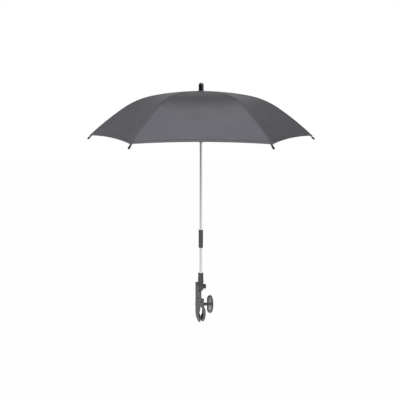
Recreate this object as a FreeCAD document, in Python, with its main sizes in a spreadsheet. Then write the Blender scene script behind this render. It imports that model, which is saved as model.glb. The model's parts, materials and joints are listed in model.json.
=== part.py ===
import FreeCAD, Part
import math
import os

import Sketcher
from FreeCAD import Placement, Rotation, Vector

# Pram parasol with a tube clamp, as separate pieces in their places.
# The origin is the middle of the tube seat in the claw, on the line of the pole.
# +Z goes up the pole, +X towards the clamp knob, and the clamped tube lies along Y.

# Driving sizes in millimetres, angles in degrees, grouped by the piece that carries them.
SIZES = {
    # Clearances shared by all pieces
    "running_gap": 0.05,
    "face_gap": 0.3,
    "cut_overrun": 3,
    # Claw seat and its two rubber linings
    "seat_radius": 5,
    "seat_half_angle": 30,
    "pad_close": 14,
    "pad_low": 19,
    "pad_top": 18,
    "pad_mouth": 0.15,
    "pad_width": 18,
    "arm_pad_thickness": 1.2,
    "arm_pad_reach": 1.5,
    "jaw_pad_thickness": 4.5,
    "jaw_pad_foot": 3.5,
    "jaw_pad_edge": 1.2,
    "jaw_pad_reach": 4.8,
    # Clamp arm
    "claw_width": 20,
    "claw_split": 0.6,
    "arm_back": 17.2,
    "arm_front": 2.5,
    "arm_bend_top": 10,
    "arm_tip_drop": 26,
    "arm_tip_reach": 8,
    "arm_tip_rise": 2,
    "tip_round": 6,
    "arm_round": 5,
    "tip_hollow": 19.5,
    "ear_reach": 11,
    "ear_half_height": 1.6,
    "ear_root_low": 26,
    "ear_root_rise": 5.2,
    "ear_slot_floor": 4.5,
    "ear_slot_low": 21,
    "ear_slot_rise": 5.3,
    "web_recess": 2.5,
    "web_border": 4,
    "web_low": 58,
    # Clamp jaw
    "jaw_back": 16.6,
    "jaw_bend_top": 6,
    "jaw_tip_drop": 21,
    "jaw_tip_reach": 12,
    "jaw_tip_rise": 1,
    "jaw_lip": 1.5,
    "jaw_round": 3.5,
    "jaw_face": 11.3,
    "jaw_face_below": 11,
    "jaw_face_above": 3.5,
    "jaw_crest_reach": 2,
    "jaw_crest_height": 25.5,
    "lug_radius": 4.6,
    "lug_width": 10.6,
    "lug_side_gap": 0.2,
    "lug_heel": 2.5,
    "lug_heel_height": 30,
    "pivot_reach": 3,
    "pivot_height": 45,
    "pivot_pin_radius": 2.5,
    "bolt_slot_below": 7.4,
    "bolt_slot_above": 5.5,
    # Clamp bolt, thrust washer and hand knob
    "bolt_drop": 12,
    "bolt_radius": 3,
    "bolt_end": 33,
    "bolt_head_radius": 6,
    "bolt_head_height": 3.6,
    "bolt_head_sink": 2.8,
    "bolt_crown": 1.2,
    "washer_radius": 5.5,
    "washer_thickness": 1.2,
    "knob_collar_radius": 4.8,
    "knob_collar_length": 8.2,
    "knob_radius": 30,
    "knob_flat_radius": 20,
    "knob_rim_rise": 10,
    "knob_shoulder_rise": 18.4,
    "knob_thickness": 21,
    "knob_rim_round": 14,
    "knob_scallop_radius": 8,
    "knob_scallop_depth": 5,
    "insert_radius": 5,
    "insert_length": 10,
    "insert_rise": 4,
    # Hinge of the pole socket
    "hinge_height": 95.5,
    "knuckle_radius": 14,
    "knuckle_inner": 6.2,
    "socket_barrel_radius": 13.5,
    "socket_barrel_start": 5,
    "socket_barrel_end": 8,
    "barrel_relief": 1.5,
    "hinge_bolt_radius": 4,
    "hinge_bolt_tip": 13,
    "hinge_head_radius": 7,
    "hinge_head_height": 3.3,
    "friction_washer_radius": 12,
    "cap_nut_radius": 7.5,
    "cap_nut_length": 9.6,
    "cap_nut_crown": 2,
    # Pole socket
    "socket_length": 45,
    "socket_foot_radius": 9.25,
    "socket_top_radius": 8.1,
    "socket_lip": 0.4,
    "socket_lip_height": 3,
    "socket_bore_depth": 28,
    "socket_side_gap": 1,
    "rivet_radius": 1.5,
    "rivet_drop": 14,
    # Pole tubes
    "pole_radius": 4.5,
    "pole_wall": 0.6,
    "lower_pole_show": 96.5,
    "upper_span": 470,
    # Tilt knuckle between the tubes
    "knuckle_pin_radius": 1.2,
    "tongue_half": 1.75,
    "tongue_gap": 0.15,
    "knuckle_shoulder": 5.5,
    "knuckle_plug": 16,
    # Lock sleeve over the knuckle
    "sleeve_radius": 7.05,
    "sleeve_below": 9.3,
    "sleeve_above": 49,
    "sleeve_slack": 0.45,
    "sleeve_collar": 8,
    "sleeve_round": 1.6,
    # Runner with its ring of stretchers
    "runner_drop": 101,
    "runner_radius": 6.3,
    "runner_flange_radius": 11.3,
    "runner_flange_below": 5,
    "runner_flange_above": 4.5,
    "runner_neck": 2.5,
    "runner_skirt": 44,
    "runner_grip_radius": 8.2,
    "runner_grip_height": 5,
    "runner_ring_radius": 8.3,
    "ring_wire_radius": 0.75,
    # Spring catch under the runner
    "catch_nose": 1.9,
    "catch_width": 2.2,
    "catch_ledge": 3,
    "catch_length": 12,
    "catch_inner": 0.8,
    # Crown hub, its ring, and what closes the top
    "crown_ring_radius": 8.5,
    "hub_radius": 11.5,
    "hub_below": 6,
    "hub_wall": 1.3,
    "hub_skirt": 11,
    "hub_skirt_radius": 6.6,
    "hub_cap": 2,
    "stud_radius": 2,
    "stud_length": 9,
    "foot_radius": 10.2,
    "foot_height": 2.2,
    "finial_radius": 7.6,
    "finial_length": 22,
    "finial_straight": 13,
    # Ribs: a channel bent in three arcs
    "rib_count": 6,
    "rib_reach": 341,
    "rib_width": 2.8,
    "rib_height": 3.4,
    "rib_roof": 0.6,
    "rib_wall": 0.55,
    "rib_eye_radius": 2.2,
    "rib_bend_start": 140,
    "rib_bend_end": 230,
    "rib_channel_start": 24,
    "crown_angle": 0.4,
    "bend_start_angle": 10.5,
    "bend_end_angle": 33.5,
    "tip_angle": 42.5,
    "rib_side_gap": 0.3,
    # Rib tips
    "tip_ball_radius": 2.9,
    "tip_neck_radius": 2.7,
    "tip_neck_length": 5.5,
    "tip_socket_depth": 4,
    # Stretchers
    "stretcher_at": 165,
    "stretcher_thickness": 1.4,
    "stretcher_half_height": 1.3,
    "stretcher_eye_radius": 1.45,
    "stretcher_pin_radius": 0.65,
    "pin_head_radius": 1.1,
    "pin_head_height": 0.4,
    "hook_half_height": 1.9,
    "hook_length": 5,
    "hook_gap": 0.15,
    "hook_lip": 0.55,
    "stretcher_side_gap": 0.4,
    # Canopy cloth
    "cloth_thickness": 1,
    "cloth_lift": 0.9,
    "corner_gap": 4.5,
    "hem_scallop": 6.5,
    "crown_hole_radius": 3,
    "panel_gap": 0.3,
}

doc = FreeCAD.newDocument("PramParasol")
sheet = doc.addObject("Spreadsheet::Sheet", "Sizes")
for row, (alias, number) in enumerate(SIZES.items(), start=1):
    sheet.set(f"A{row}", alias)
    sheet.set(f"B{row}", str(number))
    sheet.setAlias(f"B{row}", alias)
doc.recompute()


class Size(float):
    """A length that keeps the sheet formula it came from beside its value."""

    def __new__(cls, value, formula):
        made = float.__new__(cls, value)
        made.formula = formula
        return made

    def __add__(self, other):
        return Size(float(self) + float(other), f"({self.formula} + {formula_of(other)})")

    __radd__ = __add__

    def __sub__(self, other):
        return Size(float(self) - float(other), f"({self.formula} - {formula_of(other)})")

    def __rsub__(self, other):
        return Size(float(other) - float(self), f"({formula_of(other)} - {self.formula})")

    def __mul__(self, other):
        return Size(float(self) * float(other), f"({self.formula} * {formula_of(other)})")

    __rmul__ = __mul__

    def __truediv__(self, other):
        return Size(float(self) / float(other), f"({self.formula} / {formula_of(other)})")

    def __neg__(self):
        return Size(-float(self), f"(-{self.formula})")


def formula_of(value):
    """The sheet formula of a size, or the digits of a plain number."""
    return value.formula if isinstance(value, Size) else repr(float(value))


class Sheet:
    """Reads every alias of the sheet as a Size."""

    def __getattr__(self, alias):
        return Size(float(sheet.get(alias)), f"Sizes.{alias}")


S = Sheet()


def sine(angle):
    return Size(math.sin(math.radians(angle)), f"sin({formula_of(angle)} * 1deg)")


def cosine(angle):
    return Size(math.cos(math.radians(angle)), f"cos({formula_of(angle)} * 1deg)")


# Levels up the pole and other places that several pieces share
PIVOT_Z = S.pivot_height
BOLT_Z = PIVOT_Z - S.bolt_drop
HINGE_Z = S.hinge_height
SOCKET_TOP_Z = HINGE_Z + S.socket_length
KNUCKLE_Z = SOCKET_TOP_Z + S.lower_pole_show
CROWN_Z = KNUCKLE_Z + S.upper_span
RUNNER_Z = CROWN_Z - S.runner_drop
RUNNER_FOOT_Z = RUNNER_Z - S.runner_skirt
WASHER_X = S.jaw_face + S.running_gap
KNOB_X = WASHER_X + S.washer_thickness + S.running_gap
DISC_X = KNOB_X + S.knob_collar_length
SHANK_TOP_Z = HINGE_Z - S.socket_barrel_radius - S.barrel_relief
POLE_BORE = S.pole_radius + S.running_gap
TUBE_BORE = S.pole_radius - S.pole_wall
HUB_SLOT_FLOOR = POLE_BORE + S.hub_wall
CORNER_REACH = S.rib_reach - S.corner_gap
RIB_COUNT = int(S.rib_count)
ALONG_X = Rotation(Vector(0, 1, 0), 90)
ALONG_Y = Rotation(Vector(1, 0, 0), -90)

cuts = []
pieces = []


def bind(item, prop, size):
    """Ties one property to the sheet, or sets it where it is a plain number."""
    if isinstance(size, Size):
        item.setExpression(prop, size.formula)
    else:
        setattr(item, prop, size)


def new_body(label, place=None):
    body = doc.addObject("PartDesign::Body", label)
    body.Label = label
    if place:
        body.Placement = place
    pieces.append(body)
    return body


def role(body, name):
    """One of the body's own origin planes or axes."""
    return next(item for item in body.Origin.OriginFeatures if item.Role == name)


def sketch_on(body, plane, lift=0):
    """A sketch on an origin plane of the body, lifted along the plane's normal."""
    sketch = body.newObject("Sketcher::SketchObject", f"{body.Label}_sketch")
    sketch.AttachmentSupport = [(role(body, plane), "")]
    sketch.MapMode = "FlatFace"
    if lift:
        sketch.AttachmentOffset = Placement(Vector(0, 0, float(lift)), Rotation())
        bind(sketch, "AttachmentOffset.Base.z", lift)
    return sketch


def fix_point(sketch, edge, end, across, along):
    """Ties a point of the sketch to its two distances from the sketch's origin."""
    for kind, value, axis in (("DistanceX", across, -2), ("DistanceY", along, -1)):
        if float(value) == 0:
            sketch.addConstraint(Sketcher.Constraint("PointOnObject", edge, end, axis))
            continue
        index = sketch.addConstraint(Sketcher.Constraint(kind, -1, 1, edge, end, float(value)))
        if isinstance(value, Size):
            sketch.setExpression(f"Constraints[{index}]", value.formula)


def fix_radius(sketch, edge, radius):
    index = sketch.addConstraint(Sketcher.Constraint("Radius", edge, abs(float(radius))))
    if isinstance(radius, Size):
        positive = radius if float(radius) > 0 else -radius
        sketch.setExpression(f"Constraints[{index}]", positive.formula)


def arc_between(start, end, radius):
    """The arc from start to end, turning left where the radius is positive, right where negative."""
    chord = end - start
    rise = math.sqrt(max(radius * radius - chord.Length ** 2 / 4, 0))
    left = Vector(-chord.y, chord.x, 0).normalize()
    centre = (start + end) / 2 + left * math.copysign(rise, radius)
    first, last = (start, end) if radius > 0 else (end, start)
    angles = [math.atan2(point.y - centre.y, point.x - centre.x) for point in (first, last)]
    return Part.ArcOfCircle(Part.Circle(centre, Vector(0, 0, 1), abs(radius)), *angles)


def outline(sketch, corners):
    """A closed outline. A corner is (across, along), or has a radius for an arc to the next one."""
    first = sketch.GeometryCount
    starts, ends = [], []
    for corner, following in zip(corners, corners[1:] + corners[:1]):
        start = Vector(float(corner[0]), float(corner[1]), 0)
        end = Vector(float(following[0]), float(following[1]), 0)
        radius = corner[2] if len(corner) > 2 else 0
        if radius:
            sketch.addGeometry(arc_between(start, end, float(radius)))
        else:
            sketch.addGeometry(Part.LineSegment(start, end))
        starts.append(2 if radius < 0 else 1)
        ends.append(1 if radius < 0 else 2)
    count = len(corners)
    for place, corner in enumerate(corners):
        edge = first + place
        following = (place + 1) % count
        joint = ("Coincident", edge, ends[place], first + following, starts[following])
        sketch.addConstraint(Sketcher.Constraint(*joint))
        fix_point(sketch, edge, starts[place], corner[0], corner[1])
        if len(corner) > 2:
            fix_radius(sketch, edge, corner[2])
    return sketch


def circle(sketch, across, along, radius):
    centre = Vector(float(across), float(along), 0)
    edge = sketch.addGeometry(Part.Circle(centre, Vector(0, 0, 1), float(radius)))
    fix_point(sketch, edge, 3, across, along)
    fix_radius(sketch, edge, radius)
    return sketch


def pad(body, sketch, length, side="Symmetric", back=False):
    made = body.newObject("PartDesign::Pad", f"{body.Label}_pad")
    made.Profile = sketch
    made.SideType = side
    made.Reversed = back
    bind(made, "Length", length)
    return made


def pocket(body, sketch, length=None, side="Symmetric", back=False):
    """A cut, through everything where no length is given."""
    made = body.newObject("PartDesign::Pocket", f"{body.Label}_pocket")
    made.Profile = sketch
    made.SideType = side
    made.Reversed = back
    if length is None:
        made.Type = "ThroughAll"
    else:
        bind(made, "Length", length)
    cuts.append(made)
    return made


def spun(body, sketch, kind="Revolution"):
    """A full turn of the sketch about its upright axis, as a solid or as a groove."""
    made = body.newObject(f"PartDesign::{kind}", f"{body.Label}_turn")
    made.Profile = sketch
    made.ReferenceAxis = (sketch, ["V_Axis"])
    made.Angle = 360
    if kind == "Groove":
        cuts.append(made)
    return made


def turned(label, corners, place=None):
    """A piece turned about its own Z axis from an outline of (radius, height) corners."""
    body = new_body(label, place)
    spun(body, outline(sketch_on(body, "XZ_Plane"), corners))
    return body


def around(body, feature, count):
    """Repeats a feature evenly about the body's own Z axis."""
    ring = body.newObject("PartDesign::PolarPattern", f"{body.Label}_pattern")
    ring.Originals = [feature]
    ring.Axis = (role(body, "Z_Axis"), [""])
    ring.Angle = 360
    ring.Occurrences = count
    body.Tip = ring
    return ring


def part_shape(kind, label, place=None, **sizes):
    """A Part primitive with its sizes tied to the sheet."""
    made = doc.addObject(f"Part::{kind}", label)
    for prop, size in sizes.items():
        bind(made, prop, size)
    if place:
        made.Placement = place
    return made


def joined(kind, label, base, tool):
    """A boolean of two objects: Cut, Fuse or Common."""
    made = doc.addObject(f"Part::{kind}", label)
    made.Base = base
    made.Tool = tool
    return made


def named(item, label):
    """Marks an object as a finished piece under its node's name."""
    item.Label = label
    pieces.append(item)
    return item


def at(x, y, z, turn=None):
    return Placement(Vector(float(x), float(y), float(z)), turn or Rotation())


# Claw: arm, jaw and their rubber linings
def lining_sizes(side):
    """A lining's thickness behind the seat, at its foot and at its top edge, and where that edge is."""
    if side < 0:
        thickness = S.arm_pad_thickness
        return thickness, thickness, thickness, S.arm_pad_reach
    return S.jaw_pad_thickness, S.jaw_pad_foot, S.jaw_pad_edge, S.jaw_pad_reach


def lining_corners(side):
    """Outline of a lining: the tube seat in the middle, straight flanks above and below, and its back."""
    seat_x = S.seat_radius * cosine(S.seat_half_angle)
    seat_z = S.seat_radius * sine(S.seat_half_angle)
    top_x = lining_sizes(side)[3]
    return [
        (S.pad_mouth * side, -S.pad_low),
        (S.pad_mouth * side, -S.pad_close),
        (seat_x * side, -seat_z, S.seat_radius * side),
        (seat_x * side, seat_z),
        (top_x * side, S.pad_top),
        *reversed_arcs(claw_inside(side)),
    ]


def make_pads():
    for label, side in (("arm_pad", -1), ("jaw_pad", 1)):
        body = new_body(label)
        pad(body, outline(sketch_on(body, "XZ_Plane"), lining_corners(side)), S.pad_width)


def claw_inside(side):
    """The face that a lining sits on, from its foot to its top edge."""
    thickness, foot, edge, top_x = lining_sizes(side)
    radius = S.seat_radius + thickness
    back_x = radius * cosine(S.seat_half_angle) * side
    back_z = radius * sine(S.seat_half_angle)
    return [
        ((S.pad_mouth + foot) * side, -S.pad_low),
        (back_x, -back_z, radius * side),
        (back_x, back_z),
        ((top_x + edge) * side, S.pad_top),
    ]


def reversed_arcs(corners):
    """The same run of corners walked the other way."""
    walked = []
    for place in range(len(corners) - 1, -1, -1):
        corner = corners[place][:2]
        if place > 0 and len(corners[place - 1]) > 2:
            corner = (*corner, -corners[place - 1][2])
        walked.append(corner)
    return walked


def round_edges(body, feature, radius, chosen):
    """Rounds those edges of a feature that are chosen by their middle points."""
    doc.recompute()
    names = []
    for place, edge in enumerate(feature.Shape.Edges, start=1):
        if chosen(edge.valueAt((edge.FirstParameter + edge.LastParameter) / 2)):
            names.append(f"Edge{place}")
    made = body.newObject("PartDesign::Fillet", f"{body.Label}_round")
    made.Base = (feature, names)
    bind(made, "Radius", radius)
    return made


def bend_radius(depth, drop):
    """Radius of an arc that leaves an upright edge and ends this far in and this far down."""
    return (depth * depth + drop * drop) / (2 * depth)


def make_arm():
    body = new_body("clamp_arm")
    split = S.claw_split / 2
    bend_drop = S.arm_bend_top + S.arm_tip_drop
    corners = [
        (-S.arm_back, HINGE_Z),
        (-S.arm_back, S.arm_bend_top, bend_radius(S.arm_back - S.arm_tip_reach, bend_drop)),
        (-S.arm_tip_reach, -S.arm_tip_drop, S.tip_round),
        (-split, S.arm_tip_rise - S.arm_tip_drop),
        (-split, -S.tip_hollow),
        *claw_inside(-1),
        (-split, S.ear_root_low),
        (S.ear_reach, PIVOT_Z - S.ear_half_height),
        (S.ear_reach, PIVOT_Z + S.ear_half_height),
        (S.arm_front, PIVOT_Z + S.ear_root_rise),
        (S.arm_front, SHANK_TOP_Z),
        (-S.knuckle_inner, SHANK_TOP_Z),
        (-S.knuckle_inner, HINGE_Z),
    ]
    shank = pad(body, outline(sketch_on(body, "XZ_Plane"), corners), S.claw_width)
    half = float(S.claw_width / 2)

    def is_outer(middle):
        on_face = math.isclose(abs(middle.y), half)
        return on_face and middle.z < float(SHANK_TOP_Z) and middle.x < -float(S.arm_tip_reach)

    round_edges(body, shank, S.arm_round, is_outer)
    barrel = circle(sketch_on(body, "YZ_Plane", -S.arm_back), 0, HINGE_Z, S.knuckle_radius)
    pad(body, barrel, S.arm_back - S.knuckle_inner, "One side")
    slot = [
        (-S.ear_slot_floor, S.ear_slot_low),
        (S.ear_reach + S.cut_overrun, S.ear_slot_low),
        (S.ear_reach + S.cut_overrun, PIVOT_Z + S.ear_slot_rise),
        (-S.ear_slot_floor, PIVOT_Z + S.ear_slot_rise),
    ]
    pocket(body, outline(sketch_on(body, "XZ_Plane"), slot), S.lug_width + 2 * S.lug_side_gap)
    pin_radius = S.pivot_pin_radius + S.running_gap
    pocket(body, circle(sketch_on(body, "XZ_Plane"), S.pivot_reach, PIVOT_Z, pin_radius))
    pocket(body, circle(sketch_on(body, "YZ_Plane"), 0, BOLT_Z, S.bolt_radius + S.running_gap))
    pocket(body, circle(sketch_on(body, "YZ_Plane"), 0, HINGE_Z, S.hinge_bolt_radius + S.running_gap))
    head = circle(sketch_on(body, "YZ_Plane", -S.arm_back), 0, HINGE_Z, S.hinge_head_radius + S.running_gap)
    pocket(body, head, S.hinge_head_height, "One side", back=True)
    sink = circle(sketch_on(body, "YZ_Plane", -S.arm_back), 0, BOLT_Z, S.bolt_head_radius + S.running_gap)
    pocket(body, sink, S.bolt_head_sink, "One side", back=True)
    web = [
        (S.web_border - S.arm_back, S.web_low),
        (S.arm_front - S.web_border, S.web_low),
        (S.arm_front - S.web_border, SHANK_TOP_Z - S.web_border),
        (S.web_border - S.arm_back, SHANK_TOP_Z - S.web_border),
    ]
    for side in (1, -1):
        face = outline(sketch_on(body, "XZ_Plane", S.claw_width / 2 * side), web)
        pocket(body, face, S.web_recess, "One side", back=side < 0)


def make_jaw():
    body = new_body("clamp_jaw")
    limb = [
        (S.jaw_lip, -S.tip_hollow),
        (S.jaw_lip, S.jaw_tip_rise - S.jaw_tip_drop, S.tip_round),
        (S.jaw_tip_reach, -S.jaw_tip_drop, bend_radius(S.jaw_back - S.jaw_tip_reach, S.jaw_tip_drop)),
        (S.jaw_back, 0),
        (S.jaw_back, S.jaw_bend_top),
        (S.jaw_face, BOLT_Z - S.jaw_face_below),
        (S.jaw_face, BOLT_Z + S.jaw_face_above),
        (S.jaw_crest_reach, S.jaw_crest_height),
        *reversed_arcs(claw_inside(1)),
    ]
    whole = pad(body, outline(sketch_on(body, "XZ_Plane"), limb), S.claw_width)
    half = float(S.claw_width / 2)

    def is_outer(middle):
        on_face = math.isclose(abs(middle.y), half)
        return on_face and middle.z < float(BOLT_Z - S.jaw_face_below) and middle.x > float(S.jaw_face)

    round_edges(body, whole, S.jaw_round, is_outer)
    lug = [
        (S.jaw_face, BOLT_Z - S.jaw_face_below),
        (S.jaw_face, PIVOT_Z - S.lug_radius),
        (S.pivot_reach, PIVOT_Z),
        (-S.lug_heel, PIVOT_Z),
        (-S.lug_heel, S.lug_heel_height),
        (S.jaw_crest_reach, S.jaw_crest_height),
    ]
    pad(body, outline(sketch_on(body, "XZ_Plane"), lug), S.lug_width)
    eye = circle(sketch_on(body, "XZ_Plane"), S.pivot_reach, PIVOT_Z, S.lug_radius)
    pad(body, eye, S.lug_width)
    pin_radius = S.pivot_pin_radius + S.running_gap
    pocket(body, circle(sketch_on(body, "XZ_Plane"), S.pivot_reach, PIVOT_Z, pin_radius))
    half = S.bolt_radius + S.face_gap
    slot = [
        (-half, BOLT_Z - S.bolt_slot_below),
        (half, BOLT_Z - S.bolt_slot_below),
        (half, BOLT_Z + S.bolt_slot_above),
        (-half, BOLT_Z + S.bolt_slot_above),
    ]
    pocket(body, outline(sketch_on(body, "YZ_Plane"), slot))


def make_clamp_hardware():
    pin = S.claw_width / 2
    place = at(S.pivot_reach, 0, PIVOT_Z, ALONG_Y)
    turned("jaw_pivot_pin", bar(S.pivot_pin_radius, -pin, pin), place)
    on_bolt = at(0, 0, BOLT_Z, ALONG_X)
    shoulder = S.bolt_head_sink - S.arm_back
    head = shoulder - S.bolt_head_height
    bolt = [
        (0, head),
        (S.bolt_head_radius - S.bolt_crown, head),
        (S.bolt_head_radius, head + S.bolt_crown),
        (S.bolt_head_radius, shoulder),
        (S.bolt_radius, shoulder),
        (S.bolt_radius, S.bolt_end),
        (0, S.bolt_end),
    ]
    turned("clamp_bolt", bolt, on_bolt)
    bore = S.bolt_radius + S.running_gap
    turned("thrust_washer", tube(bore, S.washer_radius, WASHER_X, WASHER_X + S.washer_thickness), on_bolt)
    nut_low = DISC_X + S.insert_rise
    nut_top = nut_low + S.insert_length
    turned("knob_insert_nut", tube(bore, S.insert_radius, nut_low, nut_top), on_bolt)
    make_knob(bore + S.face_gap, nut_low, nut_top, on_bolt)


def make_knob(bore, nut_low, nut_top, place):
    """Hand knob: a collar, a lens-shaped disc with scalloped rim, and a pocket for its nut."""
    seat = S.insert_radius + S.running_gap
    crown = dome_radius(S.knob_flat_radius, S.knob_thickness - S.knob_shoulder_rise)
    corners = [
        (bore, KNOB_X),
        (S.knob_collar_radius, KNOB_X),
        (S.knob_collar_radius, DISC_X),
        (S.knob_flat_radius, DISC_X, S.knob_rim_round),
        (S.knob_radius, DISC_X + S.knob_rim_rise, S.knob_rim_round),
        (S.knob_flat_radius, DISC_X + S.knob_shoulder_rise, crown),
        (0, DISC_X + S.knob_thickness),
        (0, nut_top + S.bolt_radius),
        (bore, nut_top + S.bolt_radius),
        (bore, nut_top),
        (seat, nut_top),
        (seat, nut_low),
        (bore, nut_low),
    ]
    body = turned("clamp_knob", corners, place)
    reach = S.knob_radius + S.knob_scallop_radius - S.knob_scallop_depth
    scallop = pocket(body, circle(sketch_on(body, "XY_Plane"), reach, 0, S.knob_scallop_radius))
    around(body, scallop, RIB_COUNT)


def dome_radius(radius, rise):
    """Radius of the round cap that stands this high on a foot of this radius."""
    return (radius * radius + rise * rise) / (2 * rise)


def bar(radius, low, top):
    """Outline of a plain round bar."""
    return [(0, low), (radius, low), (radius, top), (0, top)]


def tube(inner, outer, low, top):
    """Outline of a plain tube."""
    return [(inner, low), (outer, low), (outer, top), (inner, top)]


# Hinge of the pole socket
def make_hinge():
    place = at(0, 0, HINGE_Z, ALONG_X)
    head = -S.arm_back
    bolt = [
        (0, head),
        (S.hinge_head_radius, head),
        (S.hinge_head_radius, head + S.hinge_head_height),
        (S.hinge_bolt_radius, head + S.hinge_head_height),
        (S.hinge_bolt_radius, S.hinge_bolt_tip),
        (0, S.hinge_bolt_tip),
    ]
    turned("hinge_bolt", bolt, place)
    bore = S.hinge_bolt_radius + S.running_gap
    washer = tube(bore, S.friction_washer_radius, -S.knuckle_inner, -S.socket_barrel_start - S.running_gap)
    turned("friction_washer", washer, place)
    low = S.socket_barrel_end + S.running_gap
    top = low + S.cap_nut_length
    nut = [
        (bore, low),
        (S.cap_nut_radius, low),
        (S.cap_nut_radius, top - S.cap_nut_crown),
        (S.cap_nut_radius - S.cap_nut_crown, top),
        (0, top),
        (0, S.hinge_bolt_tip + S.running_gap),
        (bore, S.hinge_bolt_tip + S.running_gap),
    ]
    turned("hinge_cap_nut", nut, place)


def make_socket():
    """Tapered socket on its hinge barrel, cleared where the arm's knuckle and the cap nut turn."""
    lip = S.socket_top_radius + S.socket_lip
    corners = [
        (0, HINGE_Z),
        (S.socket_foot_radius, HINGE_Z),
        (S.socket_foot_radius, HINGE_Z + S.socket_barrel_radius),
        (S.socket_top_radius, SOCKET_TOP_Z - S.socket_lip_height),
        (lip, SOCKET_TOP_Z - S.socket_lip_height),
        (lip, SOCKET_TOP_Z),
        (0, SOCKET_TOP_Z),
    ]
    body = turned("pole_socket", corners)
    barrel = sketch_on(body, "YZ_Plane", -S.socket_barrel_start)
    width = S.socket_barrel_start + S.socket_barrel_end
    clear = S.knuckle_radius + S.socket_side_gap
    near = circle(sketch_on(body, "YZ_Plane", -S.socket_barrel_start), 0, HINGE_Z, clear)
    pocket(body, near, S.arm_back, "One side")
    far = circle(sketch_on(body, "YZ_Plane", S.socket_barrel_end), 0, HINGE_Z, S.socket_barrel_radius)
    pocket(body, far, S.arm_back, "One side", back=True)
    pad(body, circle(barrel, 0, HINGE_Z, S.socket_barrel_radius), width, "One side")
    pocket(body, circle(sketch_on(body, "YZ_Plane"), 0, HINGE_Z, S.hinge_bolt_radius + S.running_gap))
    bore = circle(sketch_on(body, "XY_Plane", SOCKET_TOP_Z), 0, 0, POLE_BORE)
    pocket(body, bore, S.socket_bore_depth, "One side")
    rivet_z = SOCKET_TOP_Z - S.rivet_drop
    rivet = circle(sketch_on(body, "YZ_Plane"), 0, rivet_z, S.rivet_radius + S.running_gap)
    pocket(body, rivet)
    half = S.socket_top_radius
    place = at(0, 0, SOCKET_TOP_Z - S.rivet_drop, ALONG_X)
    turned("socket_rivet", bar(S.rivet_radius, -half, half), place)


# Pole tubes, tilt knuckle and lock sleeve
def make_poles():
    foot = SOCKET_TOP_Z - S.socket_bore_depth
    lower = turned("lower_pole", tube(TUBE_BORE, S.pole_radius, foot, KNUCKLE_Z - S.knuckle_shoulder))
    level = SOCKET_TOP_Z - S.rivet_drop
    pocket(lower, circle(sketch_on(lower, "YZ_Plane"), 0, level, S.rivet_radius + S.running_gap))
    low = KNUCKLE_Z + S.knuckle_shoulder
    upper = turned("upper_pole", tube(TUBE_BORE, S.pole_radius, low, CROWN_Z))
    half = S.catch_width / 2 + S.face_gap
    top = RUNNER_FOOT_Z
    foot = top - S.catch_length - 2 * S.face_gap
    window = [(-half, foot), (half, foot), (half, top), (-half, top)]
    front = sketch_on(upper, "XZ_Plane", S.pole_radius + S.cut_overrun)
    pocket(upper, outline(front, window), S.pole_radius + S.cut_overrun, "One side")


def knuckle_half(label, way, thickness, round_radius):
    """One half of the tilt knuckle: a plug in its tube and a rounded end about the pin."""
    rod_radius = S.pole_radius - S.running_gap
    plug_radius = TUBE_BORE - S.running_gap
    low = min(0, float(way))
    rod_length = S.knuckle_shoulder + round_radius
    rod_low = KNUCKLE_Z - round_radius if way > 0 else KNUCKLE_Z - S.knuckle_shoulder
    rod = part_shape("Cylinder", f"{label}_rod", at(0, 0, rod_low), Radius=rod_radius, Height=rod_length)
    wide = 2 * S.pole_radius
    turn = at(0, -S.pole_radius, KNUCKLE_Z, ALONG_Y)
    end = part_shape("Cylinder", f"{label}_end", turn, Radius=round_radius, Height=wide)
    block_place = at(-S.pole_radius, -S.pole_radius, KNUCKLE_Z + low * S.knuckle_shoulder)
    sizes = {"Length": wide, "Width": wide, "Height": S.knuckle_shoulder}
    block = part_shape("Box", f"{label}_block", block_place, **sizes)
    nose = joined("Common", f"{label}_nose", rod, joined("Fuse", f"{label}_profile", end, block))
    slot_place = at(-wide, -thickness, KNUCKLE_Z - S.knuckle_shoulder)
    slot_height = 2 * S.knuckle_shoulder - (S.tongue_gap if way > 0 else 0)
    slot_sizes = {"Length": 2 * wide, "Width": 2 * thickness, "Height": slot_height}
    slot = part_shape("Box", f"{label}_slot", slot_place, **slot_sizes)
    shaped = joined("Cut" if way > 0 else "Common", f"{label}_shaped", nose, slot)
    plug_low = KNUCKLE_Z + S.knuckle_shoulder - S.tongue_gap if way > 0 else (
        KNUCKLE_Z - S.knuckle_shoulder - S.knuckle_plug
    )
    plug_height = S.knuckle_plug + S.tongue_gap if way > 0 else S.knuckle_plug
    plug_foot = at(0, 0, plug_low)
    plug = part_shape("Cylinder", f"{label}_plug", plug_foot, Radius=plug_radius, Height=plug_height)
    whole = joined("Fuse", f"{label}_whole", shaped, plug)
    hole = S.knuckle_pin_radius + (0 if way > 0 else S.running_gap)
    drill = part_shape("Cylinder", f"{label}_drill", turn, Radius=hole, Height=wide)
    named(joined("Cut", f"{label}_drilled", whole, drill), label)


def make_knuckle():
    round_radius = S.pole_radius - 2 * S.running_gap
    knuckle_half("knuckle_tongue", -1, S.tongue_half, round_radius)
    knuckle_half("knuckle_fork", 1, S.tongue_half + S.tongue_gap, round_radius)
    half = S.pole_radius - S.face_gap
    turned("knuckle_pin", bar(S.knuckle_pin_radius, -half, half), at(0, 0, KNUCKLE_Z, ALONG_Y))


def make_sleeve():
    low = KNUCKLE_Z - S.sleeve_below
    top = KNUCKLE_Z + S.sleeve_above
    wide = S.pole_radius + S.sleeve_slack
    corners = [
        (wide, low),
        (S.sleeve_radius - S.sleeve_round, low, S.sleeve_round),
        (S.sleeve_radius, low + S.sleeve_round),
        (S.sleeve_radius, top),
        (POLE_BORE, top),
        (POLE_BORE, top - S.sleeve_collar),
        (wide, top - S.sleeve_collar),
    ]
    turned("lock_sleeve", corners)


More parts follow.
